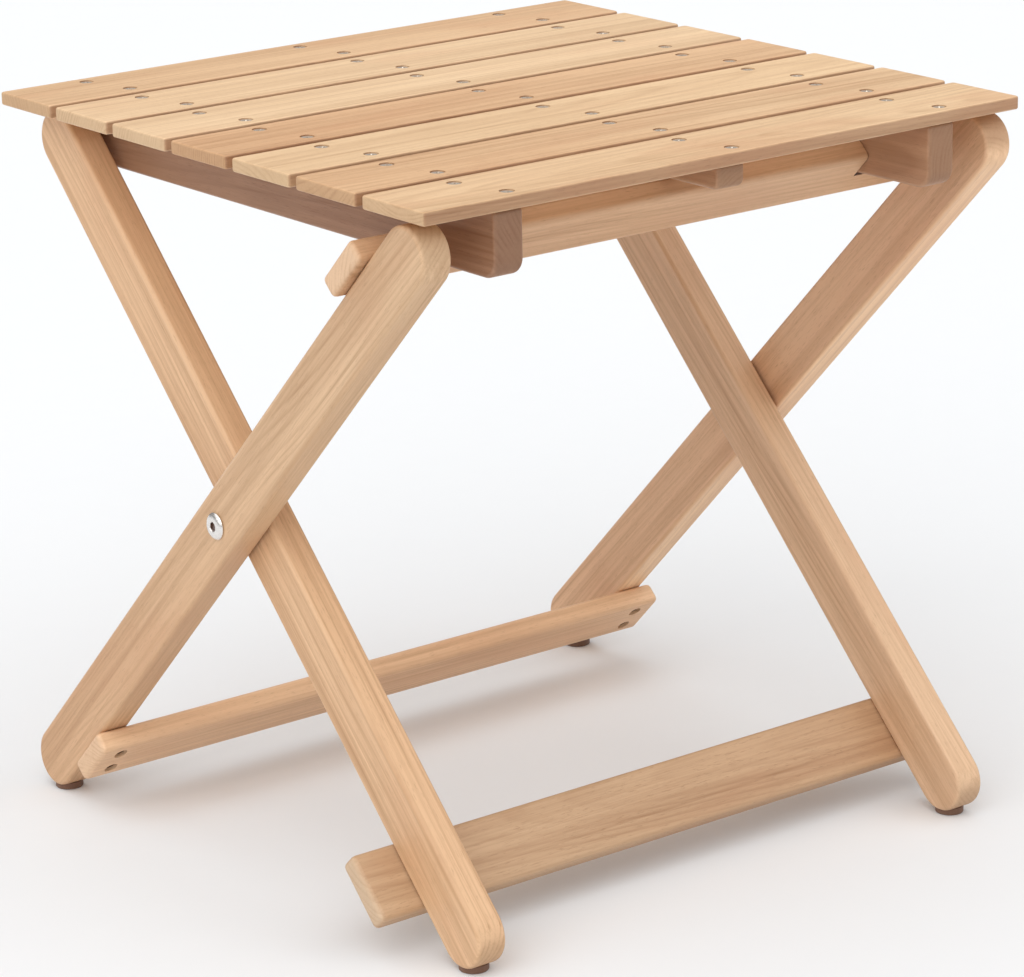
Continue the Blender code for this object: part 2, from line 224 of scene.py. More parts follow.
WANDER = (0.0, 0.014, 0.014)          # how far the rings wander, in metres
YEAR_CHANGES = 90.0                   # the noise of wide and narrow years, in 1/m
YEAR_SPREAD = 2.2                     # the most rings that it adds
RING_RAMP = ((0.0, 0.10), (0.42, 0.0), (0.86, 1.0), (1.0, 0.10))   # late wood over one year
LATE_WEIGHT = 0.34                    # how far each layer of the grain darkens the wood
FIBRE_WEIGHT = 0.78
STREAK_WEIGHT = 0.30
BAND_WEIGHT = 0.24
VEIN_WEIGHT = 0.24
CLOUD_WEIGHT = 0.55
BASE_DARKNESS = 0.24
PORE_STRENGTH = 0.34
SAWN_STRENGTH = 0.80
SAWN_RINGS = 0.45
FACING = (0.45, 0.92)                 # how squarely a face looks along an axis
TONE_AND_LIGHT_DRIFT_REACH = 0.20                    # either side of the middle of a board
TONE_AND_LIGHT_DRIFT_WAVER = 0.10


def year_rings(s, here, shifted, pith, ring, lean):
    """Late wood of the yearly rings round the pith, from 0 to 1."""
    wander = s.node("TexNoise", {
        "Vector": s.vector("MULTIPLY", shifted, RING_WANDER), "Scale": 1.0,
        "Detail": 2.0, "Roughness": 0.45})
    centred = s.vector("SUBTRACT", wander.outputs["Color"], (0.5, 0.5, 0.5))
    bent = s.vector("ADD", here, s.vector("MULTIPLY", centred, WANDER))
    parts = s.node("SeparateXYZ", {0: bent})
    across = s.math("ADD", s.math("MULTIPLY", parts.outputs["X"], lean[0]),
                    s.math("SUBTRACT", parts.outputs["Y"], pith[0]))
    deep = s.math("ADD", s.math("MULTIPLY", parts.outputs["X"], lean[1]),
                  s.math("SUBTRACT", parts.outputs["Z"], pith[1]))
    radius = s.math("SQRT", s.math("ADD", s.math("MULTIPLY", across, across),
                                   s.math("MULTIPLY", deep, deep)))
    years = s.node("TexNoise", {"W": s.math("MULTIPLY", radius, YEAR_CHANGES),
                                "Scale": 1.0, "Detail": 1.0}, noise_dimensions="1D")
    age = s.math("ADD", s.math("DIVIDE", radius, ring),
                 s.math("MULTIPLY", years.outputs["Fac"], YEAR_SPREAD))
    late = s.ramp(s.math("FRACT", age), RING_RAMP)
    strength = s.spread(s.noise(shifted, RING_PATCHES, 2.0), 0.30, 0.72, 0.15, 1.0)
    return s.math("MULTIPLY", late, strength)


def wood(name, tone, seed, pith, ring=0.0026, lean=(0.02, 0.02), figure=1.0, stain=0.5,
         sawn_end=0.90, side=1.0, tone_and_light_drift=0.0):
    """Oiled timber with its grain along local X.

    pith is where the heart of the tree lies beside the board, ring the width of
    a year's growth, lean how fast the board runs out of the rings along its
    length, figure the strength of the grain and stain that of the pink patches.
    sawn_end and side are the shades of the end grain and of the narrow sides,
    the faces across local Y; side is partly their own edge grain and partly painted
    light and shade.  tone_and_light_drift is how much paler the board grows towards
    +X, or towards -X where it is negative: partly its own tone, partly painted light
    and shade along it.
    """
    s = Shader(name)
    coords = s.node("TexCoord")
    here = coords.outputs["Object"]
    normal = s.node("SeparateXYZ", {0: coords.outputs["Normal"]})
    chance = random.Random(seed)
    offset = tuple(chance.uniform(-9.0, 9.0) for _ in range(3))
    shifted = s.vector("ADD", here, offset)

    # layers, each a noise drawn out along the grain
    late = year_rings(s, here, shifted, pith, ring, lean)
    fibre = s.noise(shifted, FIBRES, 5.0, 0.65)
    streak = s.spread(s.noise(shifted, STREAKS, 4.0, 0.60, 0.20), 0.33, 0.67)
    band = s.spread(s.noise(shifted, BANDS, 2.0, 0.5), 0.33, 0.67)
    cloud = s.noise(shifted, CLOUDS, 3.0, 0.55)
    vein = s.spread(s.noise(shifted, VEINS, 3.0, 0.6, 0.10), 0.58, 0.72)
    patch = s.noise(shifted, PATCHES, 3.0, 0.6)
    pores = s.spread(s.noise(shifted, PORES, 2.0, 0.5), 0.60, 0.70)
    pores = s.math("MULTIPLY", pores, s.spread(late, 0.0, 0.6, 1.0, 0.25))
    end = s.spread(s.math("ABSOLUTE", normal.outputs["X"]), *FACING)
    edge = s.node("Attribute", attribute_name="arris").outputs["Fac"]

    dark = s.math("MULTIPLY", late, LATE_WEIGHT * figure)
    for layer, middle, weight in (
            (fibre, 0.5, FIBRE_WEIGHT), (streak, 0.5, STREAK_WEIGHT), (band, 0.5, BAND_WEIGHT),
            (vein, 0.1, VEIN_WEIGHT), (cloud, 0.5, CLOUD_WEIGHT)):
        dark = s.math("ADD", dark, s.math("MULTIPLY", s.math("SUBTRACT", layer, middle),
                                          weight * figure))
    dark = s.math("ADD", dark, BASE_DARKNESS, clamp=True)
    colour = s.mix(dark, shade(tone, PALE_GRAIN), shade(tone, DEEP_GRAIN))
    colour = s.mix(s.spread(patch, 0.48, 0.72, 0.0, stain), colour, shade(tone, PINK_PATCH))
    colour = s.mix(s.math("MULTIPLY", pores, PORE_STRENGTH), colour, shade(tone, OPEN_PORE))

    # end grain drinks more oil, and its rings stand out
    sawn_grain = s.noise(shifted, SAWN_GRAIN, 3.0, 0.6)
    rings = s.math("ADD", s.math("MULTIPLY", late, SAWN_RINGS),
                   s.math("MULTIPLY", sawn_grain, SAWN_RINGS))
    sawn_tone = shade(tone, [sawn_end ** power for power in SAWN_POWERS])[:3]
    sawn = s.mix(rings, shade(sawn_tone, SAWN_PALE), shade(sawn_tone, SAWN_DEEP))
    colour = s.mix(s.math("MULTIPLY", end, SAWN_STRENGTH), colour, sawn)
    # paler towards one end: partly the board's own tone, partly painted light and shade along it
    if tone_and_light_drift:
        along = s.math("ADD", s.node("SeparateXYZ", {0: here}).outputs["X"],
                       s.math("MULTIPLY", s.math("SUBTRACT", band, 0.5), TONE_AND_LIGHT_DRIFT_WAVER))
        reach = math.copysign(TONE_AND_LIGHT_DRIFT_REACH, tone_and_light_drift)
        colour = s.mix(s.spread(along, -reach, reach, 0.0, abs(tone_and_light_drift)), colour,
                       s.mix(1.0, colour, DRIFTED_TONE_AND_LIGHT + (1.0,), "MULTIPLY"))
    # narrow sides made paler or darker: partly their edge grain, partly painted light and shade
    if side != 1.0:
        narrow = s.spread(s.math("ABSOLUTE", normal.outputs["Y"]), *FACING)
        side_grain_and_light = tuple(side ** power for power in SIDE_POWERS) + (1.0,)
        colour = s.mix(narrow, colour, side_grain_and_light, "MULTIPLY")
    # handled edges are rubbed paler, and the paler arris is partly a painted highlight
    rubbed_and_highlight = s.math("MULTIPLY", edge, s.spread(s.noise(shifted, RUBBING_AND_HIGHLIGHT, 3.0, 0.6),
                                               0.35, 0.65, 0.04, 0.26))
    colour = s.mix(rubbed_and_highlight, colour, shade(tone, RUBBED_EDGE_AND_HIGHLIGHT))

    roughness = s.math("ADD", s.math("MULTIPLY", fibre, 0.22),
                       s.math("MULTIPLY", end, 0.16))
    roughness = s.math("ADD", roughness, 0.36)
    roughness = s.math("SUBTRACT", roughness, s.math("MULTIPLY", edge, 0.07), clamp=True)
    s.set(Base_Color=colour, Roughness=roughness, Specular_IOR_Level=0.42)
    height = s.math("SUBTRACT", s.math("ADD", fibre, s.math("MULTIPLY", streak, 0.6)),
                    s.math("ADD", s.math("MULTIPLY", pores, 0.9), s.math("MULTIPLY", late, 0.3)))
    s.bump(height, 0.55, 0.00016)
    return s.material


# Shades of the metal and the plastic, as above, the painted shade inside a bolt's socket, and a
# colour of floor dust.
DULL_METAL = (0.84, 0.83, 0.82)
CLEAN_METAL = (1.05, 1.05, 1.05)
SCUFFED_METAL = (0.60, 0.58, 0.56)
DEEP_PLASTIC = (0.85, 0.85, 0.85)
PALE_PLASTIC = (1.35, 1.3, 1.3)
SOCKET_PAINTED_SHADE = (0.12, 0.055, 0.035, 1.0)
FLOOR_DUST = (0.20, 0.15, 0.11, 1.0)
DUST_HEIGHT = 0.0022
SOCKET_SHADE_FADE = (0.0004, 0.0005)         # its soft borders, out and up
TURNING_MARKS = 26000.0               # radians of a sine per metre of radius


def steel(name, tone, turned_marks=True, socket_shade=None, shine=1.0, gloss=0.5):
    """Stainless steel with fine turning marks, scuffs and dulled patches.

    If a socket is given, as its (radius, highest z), its inside is painted dark brown as painted
    shade.
    shine below 1 is steel gone dull out of doors, and gloss is how bright the dull part
    still glints; the sunk screws have both set low as part of their painted shade.
    """
    s = Shader(name)
    here = s.node("TexCoord").outputs["Object"]
    cloud = s.noise(here, (260.0, 260.0, 260.0), 3.0, 0.6)
    grit = s.noise(here, (3200.0, 3200.0, 3200.0), 2.0, 0.6)
    scuff = s.spread(s.noise(here, (500.0, 3600.0, 900.0), 4.0, 0.7), 0.55, 0.75)
    colour = s.mix(cloud, shade(tone, DULL_METAL), shade(tone, CLEAN_METAL))
    colour = s.mix(s.math("MULTIPLY", scuff, 0.25), colour, shade(tone, SCUFFED_METAL))
    roughness = s.math("ADD", s.math("MULTIPLY", cloud, 0.16), s.math("MULTIPLY", scuff, 0.14))
    roughness = s.math("ADD", roughness, 0.17)
    parts = s.node("SeparateXYZ", {0: here})
    out = s.math("SQRT", s.math("ADD",
                                s.math("MULTIPLY", parts.outputs["X"], parts.outputs["X"]),
                                s.math("MULTIPLY", parts.outputs["Y"], parts.outputs["Y"])))
    metallic = shine
    # painted shade: the inside of the socket is darkened and made less metallic
    if socket_shade:
        socket_shade_mask = s.math("MULTIPLY",
                      s.spread(out, socket_shade[0] - SOCKET_SHADE_FADE[0], socket_shade[0], 1.0, 0.0),
                      s.spread(parts.outputs["Z"], socket_shade[1] - SOCKET_SHADE_FADE[1], socket_shade[1], 1.0, 0.0))
        socket_shade_mask = s.math("MULTIPLY", socket_shade_mask, s.spread(cloud, 0.25, 0.60, 0.65, 1.0))
        colour = s.mix(socket_shade_mask, colour, SOCKET_PAINTED_SHADE)
        metallic = s.math("SUBTRACT", shine, socket_shade_mask, clamp=True)
    s.set(Base_Color=colour, Metallic=metallic, Roughness=roughness, Specular_IOR_Level=gloss)
    height = s.math("ADD", grit, s.math("MULTIPLY", scuff, -0.6))
    if turned_marks:
        height = s.math("ADD", height, s.math("SINE", s.math("MULTIPLY", out, TURNING_MARKS)))
    s.bump(height, 0.30, 0.00002)
    return s.material


def plastic(name, tone):
    """Moulded plastic with a fine spark texture, dusty towards the floor."""
    s = Shader(name)
    here = s.node("TexCoord").outputs["Object"]
    spark = s.noise(here, (2400.0, 2400.0, 2400.0), 3.0, 0.6)
    cloud = s.noise(here, (300.0, 300.0, 300.0), 3.0, 0.6)
    low = s.spread(s.node("SeparateXYZ", {0: here}).outputs["Z"], 0.0, DUST_HEIGHT, 0.5, 0.0)
    colour = s.mix(cloud, shade(tone, DEEP_PLASTIC), shade(tone, PALE_PLASTIC))
    dust = s.math("MULTIPLY", low, s.spread(cloud, 0.35, 0.70))
    colour = s.mix(dust, colour, FLOOR_DUST)
    roughness = s.math("ADD", s.math("MULTIPLY", spark, 0.25), 0.38)
    s.set(Base_Color=colour, Roughness=roughness, Specular_IOR_Level=0.45)
    s.bump(spark, 0.35, 0.00005)
    return s.material


# --------------------------------------------------------------- mesh helpers
def new_object(name, mesh):
    obj = bpy.data.objects.new(name, mesh)
    bpy.context.scene.collection.objects.link(obj)
    return obj


def mesh_of(bm, name):
    mesh = bpy.data.meshes.new(name)
    bm.to_mesh(mesh)
    bm.free()
    return mesh


def place(origin, along, across):
    """Local X runs along, local Y across, local Z completes the set."""
    along, across = along.normalized(), across.normalized()
    up = along.cross(across)
    turn = Matrix((along, across, up)).transposed()
    return Matrix.Translation(origin) @ turn.to_4x4()


def plank(name, size, arris, corners=(), radius=0.0, corner_steps=14):
    """Sawn board: length, width, thickness along X, Y, Z.

    corners lists the (x sign, y sign) of the corners rounded in the face.  All
    sharp edges are then rounded over, and the attribute arris marks them.
    """
    bm = bmesh.new()
    bmesh.ops.create_cube(bm, size=1.0)
    bmesh.ops.scale(bm, vec=size, verts=bm.verts)
    if corners:
        chosen = []
        for edge in bm.edges:
            a, b = (v.co for v in edge.verts)
            if abs(a.z - b.z) > size[2] / 2:
                if (math.copysign(1, a.x), math.copysign(1, a.y)) in corners:
                    chosen.append(edge)
        bmesh.ops.bevel(bm, geom=chosen, offset=radius, segments=corner_steps, profile=0.5,
                        affect="EDGES")
        bmesh.ops.remove_doubles(bm, verts=bm.verts, dist=1e-5)
    sharp = [e for e in bm.edges if e.calc_face_angle(0.0) > SHARP]
    made = bmesh.ops.bevel(bm, geom=sharp, offset=arris, segments=ARRIS_STEPS, profile=0.5,
                           affect="EDGES")
    rounded = set(made["faces"])
    layer = bm.verts.layers.float.new("arris")
    for vert in bm.verts:
        vert[layer] = 1.0 if all(face in rounded for face in vert.link_faces) else 0.0
    return new_object(name, mesh_of(bm, name))


def lathe(profile, steps=48, closed=False):
    """bmesh turned about local Z from (radius, z) points; closed joins last to first."""
    bm = bmesh.new()
    rings = []
    for radius, z in profile:
        if radius < 1e-7:
            rings.append([bm.verts.new((0.0, 0.0, z))] * steps)
        else:
            rings.append([bm.verts.new((radius * math.cos(math.tau * i / steps),
                                        radius * math.sin(math.tau * i / steps), z))
                          for i in range(steps)])
    pairs = list(zip(rings, rings[1:]))
    if closed:
        pairs.append((rings[-1], rings[0]))
    for ring_a, ring_b in pairs:
        for i in range(steps):
            j = (i + 1) % steps
            corner = []
            for vert in (ring_a[i], ring_a[j], ring_b[j], ring_b[i]):
                if vert not in corner:
                    corner.append(vert)
            if len(corner) > 2:
                bm.faces.new(corner)
    bmesh.ops.recalc_face_normals(bm, faces=bm.faces)
    return bm


def prism(size):
    """bmesh of a cutter with square edges."""
    bm = bmesh.new()
    bmesh.ops.create_cube(bm, size=1.0)
    bmesh.ops.scale(bm, vec=size, verts=bm.verts)
    return bm


def gather(name, items):
    """One mesh from (bmesh, matrix) items; each bmesh is used up."""
    bm = bmesh.new()
    for part, matrix in items:
        part.transform(matrix)
        step = bpy.data.meshes.new("step")
        part.to_mesh(step)
        part.free()
        bm.from_mesh(step)
        bpy.data.meshes.remove(step)
    return mesh_of(bm, name)


def carve(obj, items):
    """Cut (bmesh, world matrix) items from an object that is already in place."""
    cutter = new_object("cutter", gather("cutter", items))
    cut = obj.modifiers.new("cut", "BOOLEAN")
    cut.operation = "DIFFERENCE"
    cut.solver = "EXACT"
    cut.object = cutter
    bpy.context.view_layer.update()
    graph = bpy.context.evaluated_depsgraph_get()
    carved = bpy.data.meshes.new_from_object(obj.evaluated_get(graph))
    obj.modifiers.remove(cut)
    plain = obj.data
    obj.data = carved
    for mesh in (plain, cutter.data):   # the cutter itself goes with its mesh
        bpy.data.meshes.remove(mesh)


def finish_piece(obj, material, body, nodes=(), crease=40.0):
    """Shade, paint and hang a piece on its body."""
    mesh = obj.data
    mesh.shade_smooth()
    mesh.set_sharp_from_angle(angle=math.radians(crease))
    level = obj.modifiers.new("even_shading", "WEIGHTED_NORMAL")
    level.keep_sharp = True
    mesh.materials.clear()
    mesh.materials.append(material)
    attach(obj, body)
    if nodes:
        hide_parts(*nodes)


# --------------------------------------------------------------- screw shapes
def screw_profile(length):
    """Countersunk screw, head up at z = 0."""
    return [(0.0, 0.0), (SCREW_HEAD - 0.00035, 0.0), (SCREW_HEAD - 0.00010, -0.00010),
            (SCREW_HEAD, -0.00032), (SCREW_HEAD, -SCREW_RIM),
            (SCREW_SHANK, -SCREW_HEAD_DEPTH), (SCREW_SHANK, -length + SCREW_TAPER),
            (SCREW_SHANK * 0.62, -length + 0.0015), (0.0, -length)]


def screw_hole(length, recess):
    """Hole for the screw, open above."""
    head, shank = SCREW_HEAD + SCREW_ROOM, SCREW_SHANK + SCREW_ROOM
    above, end = recess + CUT_ABOVE, -length - SCREW_ROOM
    return lathe([(0.0, above), (head, above), (head, -HOLE_RIM),
                  (shank, -SCREW_HEAD_DEPTH - SCREW_ROOM), (shank, end), (0.0, end)], steps=32)


RECESS_BLADE = (0.0044, 0.00085, 0.0030)   # one arm of the cross, half of it in the head
BLADE_TAPER = 0.45


def make_screw(length):
    """Mesh of one screw with a cross recess."""
    screw = new_object("screw", mesh_of(lathe(screw_profile(length), steps=40), "screw"))
    for turn in (0.0, math.pi / 2):
        blade = prism(RECESS_BLADE)
        for vert in blade.verts:
            if vert.co.z < 0:
                vert.co.x *= BLADE_TAPER
        carve(screw, [(blade, Matrix.Rotation(turn, 4, "Z"))])
    mesh = screw.data
    bpy.data.objects.remove(screw)
    return mesh


SCREWS = {length: make_screw(length) for length in (SLAT_SCREW_LENGTH, BAR_SCREW_LENGTH)}


def screw_copy(length, matrix, turn):
    """(bmesh, matrix) of a screw turned about its own axis, for gather()."""
    bm = bmesh.new()
    bm.from_mesh(SCREWS[length])
    return bm, matrix @ Matrix.Rotation(turn, 4, "Z")


# ------------------------------------------------------------------- finishes
# Tones are in linear light, and differ from board to board.
STEEL = steel("stainless_steel", (0.74, 0.725, 0.70))
# the bolt's hex socket is painted dark inside as painted shade
BOLT_STEEL = steel("bolt_steel", (0.86, 0.83, 0.80), socket_shade=(0.0034, 0.0024))
SCREW_STEEL = steel("screw_steel", (0.80, 0.71, 0.61), turned_marks=False, shine=0.65)
# the sunk bar screws are painted near black and dull as the shade of their deep holes
SUNK_STEEL_PAINTED_SHADE = steel("sunk_screw_painted_shade", (0.070, 0.034, 0.021), turned_marks=False, shine=0.3,
                   gloss=0.12)
BROWN = plastic("brown_plastic", (0.165, 0.085, 0.052))

screw_turns = random.Random(11)


def wooden(obj, look, body, node):
    """Finish a wooden piece; look holds its slot, which is not used, and the settings of wood().
    """
    settings = {key: value for key, value in look.items() if key != "slot"}
    finish_piece(obj, wood(node + "_wood", **settings), body, [node])


# ------------------------------------------------------------------------ top
# a slat's last setting, how much paler it grows towards one end, is partly its tone and partly
# painted light and shade
SLATS = {
    "slat_1": dict(slot="wood_rose", tone=(0.715, 0.468, 0.266), seed=21,
                   pith=(0.110, -0.030), ring=0.0030, lean=(0.030, 0.020),
                   figure=1.1, stain=0.60, tone_and_light_drift=0.10),
    "slat_2": dict(slot="wood_pale", tone=(0.80, 0.56, 0.335), seed=22,
                   pith=(-0.090, -0.060), ring=0.0026, lean=(0.015, 0.030),
                   figure=1.0, stain=0.45, tone_and_light_drift=0.25),
    "slat_3": dict(slot="wood_straw", tone=(0.82, 0.58, 0.35), seed=23,
                   pith=(0.120, 0.050), ring=0.0028, lean=(0.020, -0.020),
                   figure=0.9, stain=0.30, tone_and_light_drift=0.15),
    "slat_4": dict(slot="wood_tan", tone=(0.68, 0.412, 0.222), seed=24,
                   pith=(-0.130, -0.020), ring=0.0022, lean=(0.012, 0.012),
                   figure=1.2, stain=0.45, tone_and_light_drift=0.8),
    "slat_5": dict(slot="wood_pale", tone=(0.80, 0.558, 0.328), seed=25,
                   pith=(0.014, -0.060), ring=0.0030, lean=(0.040, 0.050),
                   figure=0.9, stain=0.30, tone_and_light_drift=0.0),
    "slat_6": dict(slot="wood_rose", tone=(0.685, 0.428, 0.234), seed=26,
                   pith=(0.060, 0.110), ring=0.0036, lean=(0.018, 0.024),
                   figure=1.3, stain=0.55, tone_and_light_drift=1.0),
    "slat_7": dict(slot="wood_straw", tone=(0.765, 0.52, 0.302), seed=27,
                   pith=(-0.012, 0.070), ring=0.0030, lean=(0.030, 0.060),
                   figure=1.1, stain=0.60, tone_and_light_drift=0.25),
}
# the slats' narrow sides are darkened as painted shade
SLAT_END, SLAT_SIDE_PAINTED_SHADE = 0.80, 0.62      # shades of the sawn ends and of the narrow sides
BATTEN_NODES = ("batten_left", "batten_middle", "batten_right")
pilot_holes = {node: [] for node in BATTEN_NODES}
for node, look in SLATS.items():
    low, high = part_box(node)
    size, centre = high - low, (low + high) / 2
    slat = plank(node + "_board", size, SLAT_ARRIS, ALL_CORNERS, SLAT_CORNER, corner_steps=5)
    slat.matrix_world = Matrix.Translation(centre)
    screws, holes = [], []
    for batten in BATTEN_NODES:
        b_low, b_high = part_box(batten)
        x = (b_low.x + b_high.x) / 2
        for sign in (1, -1):
            head = Matrix.Translation((x - sign * SLAT_SCREW_X, centre.y + sign * SLAT_SCREW_Y,
                                       high.z - SLAT_SCREW_RECESS))
            turn = screw_turns.uniform(0, math.pi)
            screws.append(screw_copy(SLAT_SCREW_LENGTH, head, turn))
            for cuts in (holes, pilot_holes[batten]):
                cuts.append((screw_hole(SLAT_SCREW_LENGTH, SLAT_SCREW_RECESS), head.copy()))
    carve(slat, holes)
    wooden(slat, dict(look, sawn_end=SLAT_END, side=SLAT_SIDE_PAINTED_SHADE), "top", node)
    fixings = new_object(node + "_screws", gather(node + "_screws", screws))
    finish_piece(fixings, SCREW_STEEL, "top")


def bored(radius, low, high):
    """Cutter for a round hole about local Z."""
    return lathe([(0.0, high), (radius, high), (radius, low), (0.0, low)])


def rod_bore():
    """Hole for the turning rod and where it goes."""
    half_length = rod_high.x + GAP
    return (bored(DOWEL_RADIUS + GAP, -half_length, half_length),
            Matrix.Translation((0.0, ROD.y, ROD.z)) @ Matrix.Rotation(math.pi / 2, 4, "Y"))


rod_low, rod_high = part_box("pivot_dowel")
# The battens' tones are their own wood darkened by painted shade from the top above them.
BATTEN_LOOKS_IN_PAINTED_SHADE = {
    "batten_left": dict(slot="wood_honey", tone=(0.350, 0.190, 0.110), seed=31,
                        pith=(0.05, 0.11)),
    "batten_middle": dict(slot="wood_rose", tone=(0.435, 0.252, 0.143), seed=32,
                          pith=(-0.06, 0.03)),
    "batten_right": dict(slot="wood_rose", tone=(0.420, 0.236, 0.134), seed=33,
                         pith=(-0.012, 0.026)),
}
BATTEN_GRAIN = dict(ring=0.0030, lean=(0.02, 0.03), figure=1.1, stain=0.4, sawn_end=0.76)
for node, look in BATTEN_LOOKS_IN_PAINTED_SHADE.items():
    low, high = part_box(node)
    size = high - low
    shallow = node == "batten_middle"
    batten = plank(node + "_board", (size.y, size.z, size.x), BATTEN_ARRIS,
                   {(1, -1), (-1, -1)}, MIDDLE_BATTEN_CORNER if shallow else BATTEN_CORNER)
    batten.matrix_world = place((low + high) / 2, Y, Z)
    cuts = pilot_holes[node]
    if not shallow:
        cuts.append(rod_bore())
    carve(batten, cuts)
    wooden(batten, dict(look, **BATTEN_GRAIN), "top", node)

# ------------------------------------------------------------------------ rod
ROD_CHAMFER = 0.001
rod_end = DOWEL_RADIUS - ROD_CHAMFER
rod = new_object("turning_rod", mesh_of(lathe([
    (0.0, rod_high.x), (rod_end, rod_high.x), (DOWEL_RADIUS, rod_high.x - ROD_CHAMFER),
    (DOWEL_RADIUS, rod_low.x + ROD_CHAMFER), (rod_end, rod_low.x), (0.0, rod_low.x)]),
    "turning_rod"))
rod.data.transform(Matrix.Rotation(math.pi / 2, 4, "Y"))
rod.matrix_world = Matrix.Translation((0.0, ROD.y, ROD.z))
rod_wood = wood("turning_rod_wood", (0.66, 0.44, 0.26), 41, pith=(0.05, 0.02), ring=0.0024,
                lean=(0.01, 0.01), figure=0.8)
finish_piece(rod, rod_wood, "pivot_rod", ["pivot_dowel"])


# ----------------------------------------------------------------------- legs
def leg_axes(kind):
    """(direction from foot to head, direction of the upper edge) of a leg."""
    up_y = 1 if kind == "inner" else -1
    along = Vector((0.0, up_y * math.cos(LEG_ANGLE), math.sin(LEG_ANGLE)))
    upper = Vector((0.0, -up_y * math.sin(LEG_ANGLE), math.cos(LEG_ANGLE)))
    return along, upper


def leg_point(kind, x, along_leg, across_leg):
    """Point measured from the crossing along a leg and towards its upper edge."""
    along, upper = leg_axes(kind)
    return Vector((x, 0.0, CROSSING.z)) + along * along_leg + upper * across_leg


def leg_x(kind, side):
    """(middle, thickness) of a leg in X."""
    low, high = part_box("{}_leg_{}".format(kind, side))
    return (low.x + high.x) / 2, high.x - low.x


BARS = {  # node: leg kind, place along the leg, on the upper edge, width
    "front_rail": ("outer", FRONT_RAIL_AT, True, BAR_WIDTH),
    "rear_stretcher": ("outer", -REAR_STRETCHER_AT, False, BAR_WIDTH),
    "front_board": ("inner", -FRONT_BOARD_AT, False, BOARD_WIDTH),
}
BAR_LABEL = {"front_rail": "rail", "rear_stretcher": "stretcher", "front_board": "board"}


def bar_screw_frames(node):
    """{(side, place): matrix of a screw with its head up at the recess}."""
    kind, at, upper_edge, _ = BARS[node]
    along, upper = leg_axes(kind)
    out = upper if upper_edge else -upper
    frames = {}
    for side in SIDES:
        x = leg_x(kind, side)[0]
        for name, shift in (("upper", 1), ("lower", -1)):
            reach = LEG_ROUND + GAP + BAR_THICKNESS - BAR_SCREW_RECESS
            spot = leg_point(kind, x, at + shift * BAR_SCREW_SPREAD,
                             reach if upper_edge else -reach)
            turn = Matrix((along, out.cross(along), out)).transposed().to_4x4()
            frames[side, name] = Matrix.Translation(spot) @ turn
    return frames


# side makes a leg's narrow edges paler or darker: partly edge grain, partly painted light and
# shade
# the last setting makes a leg paler towards one end: partly its tone, partly painted light and
# shade
LEGS = {
    "outer_leg_left": dict(slot="wood_honey", tone=(0.61, 0.375, 0.209), seed=51,
                           pith=(0.050, 0.075), ring=0.0032, figure=1.1, side=1.0, tone_and_light_drift=1.0),
    "outer_leg_right": dict(slot="wood_rose", tone=(0.665, 0.41, 0.240), seed=52,
                            pith=(-0.080, 0.040), ring=0.0034, figure=0.9, side=1.24,
                            tone_and_light_drift=-0.2),
    "inner_leg_left": dict(slot="wood_rose", tone=(0.705, 0.445, 0.252), seed=53,
                           pith=(-0.034, 0.050), ring=0.0036, figure=1.4, side=0.95,
                           tone_and_light_drift=-0.25),
    "inner_leg_right": dict(slot="wood_honey", tone=(0.645, 0.412, 0.246), seed=54,
                            pith=(0.060, 0.060), ring=0.0030, figure=1.1, side=1.04,
                            tone_and_light_drift=-0.2),
}
LEG_GRAIN = dict(lean=(0.035, 0.030), stain=0.35, sawn_end=0.82)


def crossing_cut(kind, thickness):
    """Cutter for the bolt through an outer leg, or for the insert in an inner one."""
    if kind == "outer":
        return bored(BOLT_RADIUS + GAP, -thickness, thickness)
    return bored(INSERT_RADIUS + GAP, thickness / 2 - INSERT_LENGTH - 2 * GAP, thickness)


def glide_seat():
    """Cutter for a foot glide and its pin, from the floor up."""
    seat, pin = GLIDE_RADIUS + GAP, GLIDE_PIN_RADIUS + GAP
    top_of_seat = GLIDE_HEIGHT + GAP
    top_of_pin = GLIDE_HEIGHT + GLIDE_PIN_LENGTH + GAP
    return lathe([(0.0, top_of_pin), (pin, top_of_pin), (pin, top_of_seat),
                  (seat, top_of_seat), (seat, -CUT_BELOW), (0.0, -CUT_BELOW)], steps=40)


for node, look in LEGS.items():
    kind, _, side = node.split("_")
    x, thickness = leg_x(kind, side)
    along, upper = leg_axes(kind)
    leg = plank(node + "_board", (FOOT_SPAN + HEAD_SPAN + LEG_WIDTH, LEG_WIDTH, thickness),
                LEG_ARRIS, ALL_CORNERS, LEG_ROUND, corner_steps=18)
    leg.matrix_world = place(leg_point(kind, x, (HEAD_SPAN - FOOT_SPAN) / 2, 0.0), along, upper)
    outward = Matrix.Rotation(SIDES[side] * math.pi / 2, 4, "Y")
    cuts = [(crossing_cut(kind, thickness),
             Matrix.Translation((x, 0.0, CROSSING.z)) @ outward)]
    if kind == "inner":
        cuts.append(rod_bore())
    foot = leg_point(kind, x, -FOOT_SPAN, 0.0)
    cuts.append((glide_seat(), Matrix.Translation((x, foot.y, 0.0))))
    for bar_node, (bar_kind, _, _, _) in BARS.items():
        if bar_kind == kind:
            for (screw_side, _), spot in bar_screw_frames(bar_node).items():
                if screw_side == side:
                    cuts.append((screw_hole(BAR_SCREW_LENGTH, BAR_SCREW_RECESS), spot))
    carve(leg, cuts)
    wooden(leg, dict(look, **LEG_GRAIN), kind + "_frame", node)

